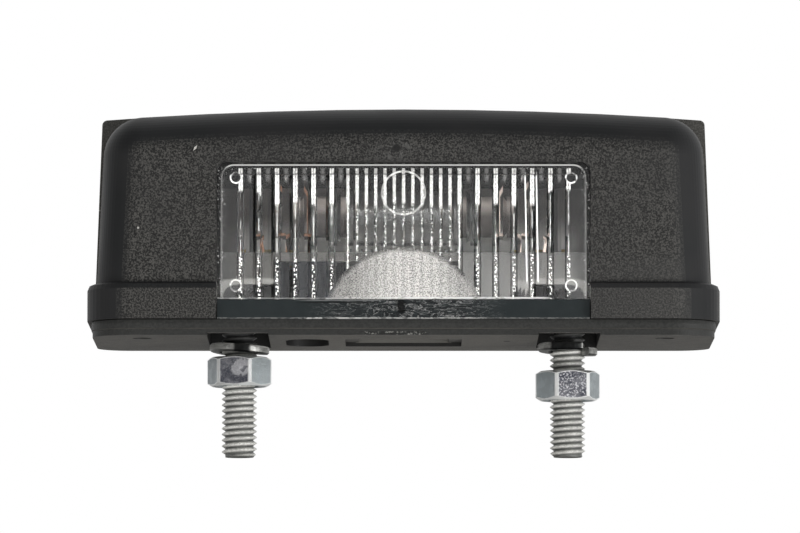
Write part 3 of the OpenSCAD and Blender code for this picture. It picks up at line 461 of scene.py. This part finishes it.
# the washers have painted highlights on their upper edges and painted shade on their lower faces,
# and their part in front of the stud lies in painted shadow, which starts and ends further out on the right washer
washerLook = {"r": 5.1, "side": (-0.45, -0.2), "shadowFrom": (-1.2, -0.6), "rightFrom": (2.2, 2.0),
              "shadowTo": (1.6, 2.2), "rightTo": 0.5, "dark": (0.34, 0.34, 0.33), "pale": (0.62, 0.62, 0.60),
              "dull": (0.10, 0.10, 0.10), "upperShade": (1.0, 1.0, 0.97), "lowerShade": (0.04, 0.04, 0.04),
              "shadowShade": (0.012, 0.013, 0.014)}


def washerZinc():
    k = washerLook
    f = Finish("washerZinc")
    right = f.x > 0.0
    aside, far = f.aroundStud()
    across = aside * (2.0 * right - 1.0)
    cloud = f.ease(f.noise(520.0, 4.0, 0.65), 0.38, 0.62)
    fine = f.noise(1900.0, 3.0, 0.6)
    shade = f.blend(cloud, k["dark"], k["pale"])
    starts = [at - more * right for at, more in zip(k["shadowFrom"], k["rightFrom"])]
    ends = [at + k["rightTo"] * right for at in k["shadowTo"]]
    shadow = f.ease(across, *starts) * (1 - f.ease(across, *ends))
    side = f.ease(far, k["r"] + k["side"][0], k["r"] + k["side"][1])
    upper = f.ease(f.nz, 0.25, 0.55)
    shade = f.blend(side.most(0.4) * (1 - upper), f.blend(0.5, shade, k["dull"]), shade)
    # painted highlight on the upper faces, painted shade on the lower ones
    shade = f.blend(upper * 0.9, shade, k["upperShade"])
    shade = f.blend(f.ease(-f.nz, 0.4, 0.8) * 0.85, shade, k["lowerShade"])
    shade = f.blend(shadow * (f.ny < 0.3) * 0.95, shade, k["shadowShade"])
    return f.done(f.shader({"Base Color": shade, "Metallic": 1.0 - 0.7 * upper, "Roughness": 0.28 + 0.20 * fine,
                            "Normal": f.bump(cloud * 0.6 + fine * 0.4, 0.3)}))


screwLook = {"dull": (0.18, 0.18, 0.18), "bright": (0.42, 0.42, 0.41)}


def screwZinc():
    f = Finish("screwZinc")
    cloud = f.ease(f.noise(520.0, 4.0, 0.65), 0.38, 0.62)
    fine = f.noise(1900.0, 3.0, 0.6)
    return f.done(f.shader({"Base Color": f.blend(cloud, screwLook["dull"], screwLook["bright"]), "Metallic": 1.0,
                            "Roughness": 0.26 + 0.22 * fine, "Normal": f.bump(cloud * 0.6 + fine * 0.4, 0.3)}))


# the carrier is light grey, dimmer towards its top, left and margins where less light reaches it,
# with an apron in front painted darker as painted shade and paler to the right as painted light; the apron has an
# arch at each end of its foot, painted dark inside as painted shade, with a painted glint above it
carrierLook = {"front": (8.5, 10.2), "left": (-6.0, 28.0), "right": (0.0, 12.0), "top": (17.6, 23.2),
               "topMost": (25.5, 27.5), "rightEnd": (20.0, 30.0), "margin": (26.2, 29.0), "outside": (29.0, 31.0),
               "apronLeft": (20.0, 26.0), "apronTop": (10.0, 15.2), "apronMargin": (27.0, 30.0),
               "archX": 25.2, "archZ": 5.4, "archHalf": 5.3, "archHigh": 3.7, "archEdge": (0.9, 1.1),
               "smearFoot": (6.5, 8.0), "smearFrom": (1.0, 1.25), "smearTo": (2.6, 3.8),
               "low": (0.95, 0.93, 0.90), "high": (0.15, 0.135, 0.125), "highest": (0.05, 0.045, 0.04),
               "leftShade": (0.06, 0.02, 0.0), "rightShade": (0.05, 0.05, 0.05), "marginShade": (0.03, 0.03, 0.03),
               "apronDark": (0.066, 0.061, 0.056), "apronPale": (0.136, 0.133, 0.128),
               "apronLeftShade": (0.03, 0.027, 0.024), "apronTopShade": (0.03, 0.028, 0.026),
               "outsideShade": (0.02, 0.02, 0.02), "apronOutside": (0.015, 0.015, 0.015),
               "clouded": (0.10, 0.095, 0.09), "smearShade": (0.30, 0.295, 0.28), "archShade": (0.006, 0.006, 0.007)}


def greyCarrier():
    k = carrierLook
    f = Finish("lightGreyCarrier")
    cloud = f.noise(180.0, 3.0)
    fine = f.noise(1500.0, 2.0)
    front = f.ease(-f.y, *k["front"])
    left, right = f.ease(-f.x, *k["left"]), f.ease(f.x, *k["right"])
    shade = f.blend(f.ease(f.z, *k["top"]), k["low"], k["high"])
    shade = f.blend(f.ease(f.z, *k["topMost"]) * 0.5, shade, k["highest"])
    shade = f.blend(left * 0.32, shade, k["leftShade"])
    shade = f.blend(f.ease(f.x, *k["rightEnd"]) * 0.30, shade, k["rightShade"])
    shade = f.blend(f.ease(abs(f.x), *k["margin"]) * (0.45 + 0.25 * left), shade, k["marginShade"])
    # painted shade and light on the apron: darker overall, paler to the right, darker to the left and at the top
    apron = f.blend(right, k["apronDark"], k["apronPale"])
    apron = f.blend(f.ease(-f.x, *k["apronLeft"]) * 0.5, apron, k["apronLeftShade"])
    apron = f.blend(f.ease(f.z, *k["apronTop"]) * 0.5, apron, k["apronTopShade"])
    outside = f.ease(abs(f.x), *k["outside"])
    shade = f.blend(outside * 0.6, shade, k["outsideShade"])
    apron = f.blend(outside * 0.4, apron, k["apronOutside"])
    apron = f.blend(f.ease(abs(f.x), *k["apronMargin"]) * (0.40 + 0.30 * left), apron, k["apronOutside"])
    shade = f.blend(front, shade, apron)
    shade = f.blend((cloud - 0.5) * 0.3, shade, k["clouded"])
    dx, dz = (abs(f.x) - k["archX"]) / k["archHalf"], (f.z - k["archZ"]) / k["archHigh"]
    dx, dz = dx * dx, dz * dz
    far = dx * dx + dz * dz
    # painted highlight: a pale glint curving over each arch
    archGlint = (front * f.ease(f.z, *k["smearFoot"]) * f.ease(far, *k["smearFrom"])
             * (1 - f.ease(far + cloud, *k["smearTo"])))
    shade = f.blend(archGlint * 0.8, shade, k["smearShade"])
    # painted shade inside each arch
    shade = f.blend(front * (1 - f.ease(far, *k["archEdge"])) * 0.95, shade, k["archShade"])
    return f.done(f.shader({"Base Color": shade, "Roughness": 0.5 + 0.1 * fine, "Normal": f.bump(fine, 0.1)}))


copperLook = {"right": (0.0, 4.0), "bendZ": 17.7, "bend": (0.8, 1.1), "dark": (0.14, 0.065, 0.04),
              "pale": (0.32, 0.18, 0.12), "tinned": (0.86, 0.78, 0.72), "bendShade": (0.03, 0.015, 0.01)}


# copper, tinned on the right, and painted dark in the bend and on its sloping faces as painted shade
def springCopper():
    k = copperLook
    f = Finish("springCopper")
    cloud = f.noise(600.0, 4.0, 0.6, (1.0, 1.0, 0.3))
    shade = f.blend(cloud, k["dark"], k["pale"])
    shade = f.blend(f.ease(f.x, *k["right"]) * 0.6, shade, k["tinned"])
    bend = 1 - f.ease(abs(f.z - k["bendZ"]), *k["bend"])
    shade = f.blend(f.ease(abs(f.nz), 0.2, 0.6).most(bend * 0.6) * 0.9, shade, k["bendShade"])
    return f.done(f.shader({"Base Color": shade, "Metallic": 1.0, "Roughness": 0.34 + 0.15 * cloud,
                            "Normal": f.bump(cloud, 0.15)}))


brassLook = {"dark": (0.45, 0.33, 0.13), "pale": (0.68, 0.52, 0.24)}


def brass():
    f = Finish("rivetBrass")
    cloud = f.noise(1200.0, 3.0)
    return f.done(f.shader({"Base Color": f.blend(cloud, brassLook["dark"], brassLook["pale"]), "Metallic": 1.0,
                            "Roughness": 0.32 + 0.12 * cloud}))


# the bulb's caps, paler towards the top as a painted highlight
capLook = {"fade": (21.0, 24.0), "dark": (0.06, 0.054, 0.05), "pale": (0.62, 0.55, 0.51),
           "clouded": (0.16, 0.14, 0.13)}


def capMetal():
    k = capLook
    f = Finish("bulbCapMetal")
    cloud = f.noise(900.0, 3.0)
    shade = f.blend(f.ease(f.z, *k["fade"]), k["dark"], k["pale"])
    shade = f.blend(cloud * 0.3, shade, k["clouded"])
    return f.done(f.shader({"Base Color": shade, "Metallic": 0.1, "Specular IOR Level": 0.15,
                            "Roughness": 0.50 + 0.14 * cloud, "Normal": f.bump(cloud, 0.1)}))


# the filament, with its turns as bands along x
wireLook = {"turns": 40.0, "dark": (0.20, 0.20, 0.21), "pale": (0.45, 0.45, 0.46)}


def wire():
    f = Finish("filamentWire")
    turns = (f.x * wireLook["turns"]).sine() * 0.5 + 0.5
    return f.done(f.shader({"Base Color": f.blend(turns, wireLook["dark"], wireLook["pale"]), "Metallic": 1.0,
                            "Roughness": 0.4 + 0.1 * turns, "Normal": f.bump(turns, 0.6)}))


rubberLook = {"dark": (0.010, 0.010, 0.010), "pale": (0.022, 0.022, 0.022)}


def sealRubber():
    f = Finish("sealRubber")
    fine = f.noise(1600.0, 3.0)
    return f.done(f.shader({"Base Color": f.blend(fine, rubberLook["dark"], rubberLook["pale"]),
                            "Roughness": 0.7 + 0.15 * fine, "Normal": f.bump(fine, 0.3)}))


glassLook = {"tint": (0.93, 0.95, 0.95), "clear": (1.0, 1.0, 1.0)}


def clearGlass():
    f = Finish("bulbGlass")
    waves = f.noise(160.0, 2.0, 0.5, (0.3, 1.0, 1.0))
    return f.done(f.shader({"Base Color": f.blend(waves, glassLook["tint"], glassLook["clear"]), "Roughness": 0.22,
                            "Specular IOR Level": 0.15, "IOR": 1.5, "Transmission Weight": 1.0,
                            "Normal": f.bump(waves, 0.05, 0.0002)}))


# the lens: pitches, faces and edges of its flutes, pad, rim and pips, then how wide and how high its marks are
lensLook = {"fine": 1.57, "fineEdge": 9.42, "wide": 3.08, "wideEdge": 27.9, "backFace": -16.7, "padFace": -15.5,
            "frontFace": -17.9, "ringFace": -18.06, "padCentre": 1.05, "padR": 14.0, "halfWidth": 31.45,
            "foot": 6.15, "top": 29.25, "rimR": 2.5, "rimIn": 0.30, "wallFoot": 27.36,
            "pipX": 28.35, "pipZ": 17.70, "pipUp": 9.15, "pipR": 0.92,
            "leftShift": 0.36, "upper": 22.2, "upperRise": 2.8, "riseX": (22.0, 26.0), "lower": 13.4,
            "thick": 0.37, "thin": 0.11, "dotted": 0.28, "fineThick": 0.29, "fineDotted": 0.20,
            "glint": (20.85, 9.0), "glintLean": 0.016, "glintGap": 1.9, "glintFoot": (8.6, 9.6),
            "glintTop": (26.5, 28.0), "streakFoot": (25.6, 27.0), "wallTop": (-1.05, -0.9),
            "lineFrom": (-13.0, 8.0), "lineTo": (23.0, 26.0), "lineHigh": (0.24, 0.36), "lineLow": (0.14, 0.26),
            "glowX": 1.5, "glow": (2.0, 12.5), "clearShade": (0.99, 0.99, 0.985), "whiteShade": (0.80, 0.80, 0.78),
            "whiteLight": (1.0, 0.99, 0.97), "blackDark": (0.006, 0.006, 0.006), "blackPale": (0.015, 0.015, 0.015),
            "glowDark": (0.02, 0.019, 0.018), "glowLow": (0.08, 0.077, 0.074), "glowHigh": (0.31, 0.30, 0.286),
            "frostDark": (0.14, 0.136, 0.13), "frostPale": (0.42, 0.41, 0.395)}


# clear, with painted white light where its creases, edges, ring, pips and pad throw light forward
def lensPlastic():
    k = lensLook
    f = Finish("clearLens")

    def bar(far, width, soft=0.07):
        return 1 - f.ease(far, width - soft, width + soft * 0.4)

    left = f.x < 0.0
    front = (f.y < k["frontFace"]) * f.onFront()
    behind = (f.y > k["backFace"]) * (f.y < k["padFace"] + 0.02)
    ax = abs(f.x)
    shifted = ax + left * k["leftShift"]
    outer = ax > k["fineEdge"] + 0.25
    wideStep = ((shifted - k["fineEdge"]) / k["wide"] + 0.5).fraction()
    fineStep = (ax / k["fine"] + 0.5).fraction()
    wideFar = abs(wideStep - 0.5) * k["wide"]
    fineFar = abs(fineStep - 0.5) * k["fine"]
    ragged = f.noise(2100.0, 2.0, 0.6)
    dotted = 1 - f.ease(f.dots(2700.0), 0.34, 0.50)
    upperEnd = k["upper"] + k["upperRise"] * f.ease(ax, *k["riseX"]) + (f.noise(150.0, 1.0) - 0.5) * 2.5
    high = f.ease(f.z, upperEnd - 0.5, upperEnd + 0.5)
    lowEnd = k["lower"] + (f.noise(170.0, 1.0) - 0.5) * 3.0
    low = 1 - f.ease(f.z, lowEnd - 0.3, lowEnd + 0.3)

    # the creases: thick above, thin half-way, dotted below
    grainy = 0.50 + 0.50 * f.ease(f.noise(3300.0, 2.0, 0.7), 0.38, 0.56)
    core = 1 - 0.45 * bar(wideFar + (ragged - 0.5) * 0.15, 0.10, 0.06)
    thick = bar(wideFar + (ragged - 0.5) * 0.22, k["thick"]) * high * grainy * core
    broken = f.ease(f.noise(420.0, 2.0), 0.38, 0.60)
    thin = bar(wideFar, k["thin"], 0.05) * (1 - high) * (1 - low) * broken * 0.55
    grains = bar(wideFar, k["dotted"]) * low * dotted * 0.9
    wideBars = (thick.most(thin).most(grains)) * outer
    fineHigh = bar(fineFar + (ragged - 0.5) * 0.2, k["fineThick"]) * high * grainy.least(dotted.most(0.55))
    fineLow = bar(fineFar, k["fineDotted"]) * (1 - high) * dotted * 0.8
    fineBars = fineHigh.most(fineLow) * (1 - outer)
    seam = bar(abs(ax - k["fineEdge"]), 0.10, 0.05) * 0.55
    # a painted glint: the right spring's edge, painted as two bright lines in two flutes
    lean = f.x - k["glint"][0] + (f.z - k["glint"][1]) * k["glintLean"]
    glint = (bar(abs(lean).least(abs(lean - k["glintGap"])), 0.13, 0.06)
             * f.ease(f.z, *k["glintFoot"]) * (1 - f.ease(f.z, *k["glintTop"])) * 0.9)
    belowTop = 1 - f.ease(f.z, *[k["top"] + d for d in k["wallTop"]])
    onWall = front * (f.z > k["wallFoot"]) * belowTop
    inside = (ax < k["wideEdge"] + 0.4) * behind.most(onWall * 0.78)
    # painted light: a faint streak down the middle of each wide flute near its top
    streak = (1 - f.ease(abs(wideFar - k["wide"] / 2), 0.05, 0.55)) * outer * f.ease(f.z, *k["streakFoot"]) * 0.16
    bars = wideBars.most(fineBars).most(seam).most(streak).most(glint) * inside
    # painted dark line beside each wide crease, as the next flute starts
    paintedDarkLine = bar(abs(wideFar - k["thick"] - 0.12), 0.13) * outer * inside * 0.75

    # the edge all round the window: a painted dark line of shade, then one that catches the light
    r = k["rimR"]
    qx = (ax - (k["halfWidth"] - k["rimIn"] - r)).most(0.0)
    qz = (f.z - (k["top"] - r)).most(0.0)
    inward = r - (qx * qx + qz * qz).root()
    upper = f.ease(f.z, k["top"] - 1.2, k["top"] - 0.5)
    rim = f.ease(inward, 0.26, 0.34) * (1 - f.ease(inward, 0.48, 0.62)) * (0.12 + 0.32 * upper)
    sparkle = f.ease(f.noise(2600.0, 2.0, 0.7), 0.60, 0.68) * (1 - f.ease(inward, 0.9, 1.4)) * (1 - upper) * 0.35
    footLine = (1 - f.ease(f.z, *[k["foot"] + d for d in k["lineHigh"]])) * f.ease(f.x, *k["lineFrom"])
    footLine = footLine.most(0.35 * (1 - f.ease(f.z, *[k["foot"] + d for d in k["lineLow"]])))
    uneven = f.ease(f.noise(330.0, 3.0, 0.6, (1.0, 1.0, 3.0)), 0.30, 0.50)
    footLine = footLine * uneven * (1 - f.ease(f.x, *k["lineTo"])) * 0.85
    edge = rim.most(sparkle).most(footLine) * front
    second = f.ease(inward, 0.54, 0.66) * (1 - f.ease(inward, 0.85, 1.05)) * upper
    edgePaintedShade = (1 - f.ease(inward, 0.18, 0.28)).most(second) * f.onFront() * (f.y < k["frontFace"]) * 0.8
    # painted dark reflection: the lens's top wall is darkened where it mirrors the dark hood
    topWallDarkReflection = front * f.ease(f.z, k["wallFoot"] - 0.7, k["wallFoot"] + 0.2) * belowTop * 0.55
    ring = (f.y < k["ringFace"]) * (0.35 + 0.45 * f.ease(f.noise(900.0, 3.0, 0.6), 0.4, 0.6))
    px, pz = ax - k["pipX"], abs(f.z - k["pipZ"]) - k["pipUp"]
    pipFar = (px * px + pz * pz).root()
    turned = f.ease(f.noise(700.0, 2.0, 0.5), 0.38, 0.55)
    pips = bar(abs(pipFar - k["pipR"]), 0.16, 0.08) * (f.y > k["backFace"]) * (0.12 + 0.68 * turned)

    # the frosted pad glows with painted light, brightest right of its middle
    padZ = f.z - k["padCentre"]
    padFar = (f.x * f.x + padZ * padZ).root()
    speck = f.ease(f.noise(4200.0, 2.0, 0.8), 0.40, 0.60)
    ribs = 0.80 + 0.20 * f.ease(fineFar, 0.10, 0.55)
    falloff = 1 - 0.72 * f.ease(abs(f.x - k["glowX"]), *k["glow"])
    pad = (1 - f.ease(padFar + (speck - 0.5) * 0.9, k["padR"] - 0.5, k["padR"])) * (f.y > k["padFace"])
    clear = f.shader({"Base Color": k["clearShade"], "Roughness": 0.02, "IOR": 1.49, "Specular IOR Level": 0.25,
                      "Transmission Weight": 1.0,
                      "Normal": f.bump(f.noise(260.0, 3.0, 0.6, (1.0, 1.0, 0.5)), 0.06, 0.0002)})
    white = f.shader({"Base Color": k["whiteShade"], "Roughness": 0.35, "Emission Color": k["whiteLight"],
                      "Emission Strength": 0.42})
    # this black carries the painted dark lines, painted shade and painted dark reflection on the lens
    black = f.shader({"Base Color": f.blend(ragged, k["blackDark"], k["blackPale"]), "Roughness": 0.4})
    glow = f.blend(falloff * ribs, k["glowDark"], f.blend(speck, k["glowLow"], k["glowHigh"]))
    frost = f.shader({"Base Color": f.blend(speck, k["frostDark"], k["frostPale"]), "Roughness": 0.5,
                      "Emission Color": glow, "Emission Strength": 1.0, "Normal": f.bump(speck, 0.5, 0.0002)})
    made = f.mixShader(paintedDarkLine.most(edgePaintedShade).most(topWallDarkReflection), clear, black)
    made = f.mixShader(bars.most(edge).most(ring).most(pips), made, white)
    return f.done(f.mixShader(pad * (0.45 + 0.5 * falloff * ribs), made, frost))


finishes = {"hood_plastic": hoodPlastic(), "base_plastic": basePlastic(), "lens_clear": lensPlastic(),
            "seal_rubber": sealRubber(), "carrier_grey": greyCarrier(), "spring_copper": springCopper(),
            "rivet_brass": brass(), "bulb_glass": clearGlass(), "cap_metal": capMetal(), "filament_wire": wire(),
            "zinc_steel": washerZinc(), "nut_zinc": nutZinc(), "thread_zinc": threadZinc(),
            "screw_steel": screwZinc()}
nodeFinish = {"base": "base_plastic", "hood": "hood_plastic", "lens": "lens_clear", "lens_seal": "seal_rubber",
              "bulb_carrier": "carrier_grey", "contact": "spring_copper", "rivet": "rivet_brass",
              "bulb_glass": "bulb_glass", "bulb_cap": "cap_metal", "bulb_filament": "filament_wire",
              "spring_washer": "zinc_steel", "nut": "nut_zinc", "bolt": "thread_zinc", "hood_screw": "screw_steel",
              "carrier_screw": "screw_steel"}


def dressNodes():
    for name, piece in nodes.items():
        finish = nodeFinish[name.replace("_left", "").replace("_right", "")]
        piece.data.materials.clear()
        piece.data.materials.append(finishes[finish])


dressNodes()
print("finishes made")


# the two threaded studs, in place of the plain ones; sizes in millimetres, turns in degrees
stud = {"r": 3.0, "rootR": 2.39, "pitch": 1.0, "rootRound": 0.04, "crestRound": 0.03, "length": 25.0, "top": 5.43,
        "steps": 40, "endR": 0.8, "endChamfer": 0.7, "headH": 4.0, "headAcross": 9.8, "headBevel": 0.35,
        "sides": [("left", -studX, 30.0), ("right", studX, 150.0)]}


def makeStud(name, x, turn):
    k = stud
    bm = bmesh.new()
    p = k["pitch"]
    root, nearRoot, nearCrest = k["rootR"], k["rootR"] + k["rootRound"], k["r"] - k["crestRound"]
    flank = [(root, 0.0), (nearRoot, 0.09 * p), (nearCrest, 0.43 * p), (k["r"], 0.47 * p),
             (k["r"], 0.53 * p), (nearCrest, 0.57 * p), (nearRoot, 0.91 * p), (root, p)]
    foot = k["top"] - k["length"]
    start = foot - 2 * p
    ring = [bm.verts.new((r, 0, start + z)) for r, z in flank]
    edges = [bm.edges.new(pair) for pair in zip(ring, ring[1:])]
    turns = int(k["length"] / p) + 4
    bmesh.ops.spin(bm, geom=ring + edges, cent=(0, 0, 0), axis=(0, 0, 1), dvec=(0, 0, p / k["steps"]),
                   angle=2 * math.pi * turns, steps=k["steps"] * turns)
    bmesh.ops.remove_doubles(bm, verts=bm.verts, dist=0.0005)
    for height, up in ((foot, -1), (k["top"], 1)):
        bmesh.ops.bisect_plane(bm, geom=bm.verts[:] + bm.edges[:] + bm.faces[:], dist=1e-5,
                               plane_co=(0, 0, height), plane_no=(0, 0, up), clear_outer=True)
        bmesh.ops.contextual_create(bm, geom=[e for e in bm.edges if e.is_boundary])
    # the turned end narrows to endR times the radius at its foot
    for v in bm.verts:
        far = math.hypot(v.co.x, v.co.y)
        most = k["r"] * (k["endR"] + (1 - k["endR"]) * min(1.0, (v.co.z - foot) / k["endChamfer"]))
        if far > most:
            v.co.x, v.co.y = v.co.x * most / far, v.co.y * most / far
    head = bmesh.ops.create_cone(bm, cap_ends=True, segments=6, radius1=k["headAcross"] / math.sqrt(3),
                                 radius2=k["headAcross"] / math.sqrt(3), depth=k["headH"],
                                 matrix=Matrix.Translation((0, 0, k["top"] + k["headH"] / 2)))
    topEdges = [e for e in bm.edges if all(v in head["verts"] and v.co.z > k["top"] + 1 for v in e.verts)]
    bmesh.ops.bevel(bm, geom=topEdges, offset=k["headBevel"], affect="EDGES", segments=2, profile=0.5, material=-1)
    bmesh.ops.recalc_face_normals(bm, faces=bm.faces)
    bmesh.ops.rotate(bm, verts=bm.verts, cent=(0, 0, 0), matrix=Matrix.Rotation(math.radians(turn), 3, "Z"))
    bmesh.ops.scale(bm, verts=bm.verts, vec=(mm, mm, mm))
    bmesh.ops.translate(bm, verts=bm.verts, vec=(x * mm, 0, 0))
    mesh = bpy.data.meshes.new(name)
    bm.to_mesh(mesh)
    bm.free()
    mesh.materials.append(finishes["thread_zinc"])
    piece = bpy.data.objects.new(name, mesh)
    bpy.context.scene.collection.objects.link(piece)
    return piece


for side, x, turn in stud["sides"]:
    piece = makeStud("threaded_stud_" + side, x, turn)
    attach(piece, "root")
    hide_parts("bolt_" + side)
print("studs made")
